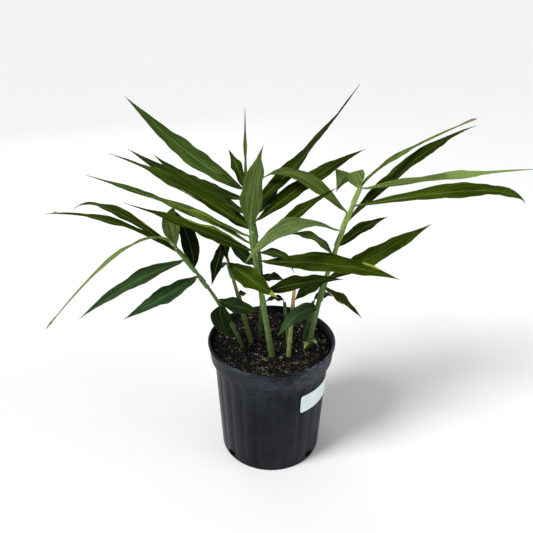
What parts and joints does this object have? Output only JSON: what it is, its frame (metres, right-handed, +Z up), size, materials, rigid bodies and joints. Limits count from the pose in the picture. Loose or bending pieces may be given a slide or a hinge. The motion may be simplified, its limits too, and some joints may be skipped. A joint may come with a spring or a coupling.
{
  "type": "potted ginger plant",
  "caption": "Leafy ginger plant with arching lance-shaped leaves on cane-like shoots, growing from soil in a round black fluted nursery pot.",
  "frame": {"origin": "centre of the pot's flat underside, on the surface it stands on", "axes": "+Z up out of the pot; +X to the right and -Y to the front, as the plant is seen from its front; the foliage spreads furthest along X"},
  "size_m": [0.5101, 0.2408, 0.4353],
  "materials": {
    "pot": "satin",
    "label": "satin",
    "soil": "matte",
    "rhizome": "matte",
    "leaf": "satin",
    "stem": "satin",
    "dry_stalk": "matte",
    "perlite": "matte",
    "bark": "matte"
  },
  "bodies": {
    "root": {"nursery_pot": "pot", "pot_label": "label", "potting_soil": "soil", "ginger_rhizome": "rhizome", "shoot_left": "leaf", "shoot_left_back": "leaf", "shoot_front": "leaf", "shoot_back": "leaf", "shoot_small": "leaf", "stalk_dry": "dry_stalk", "shoot_right": "leaf", "shoot_right_back": "leaf"}
  },
  "joints": []
}
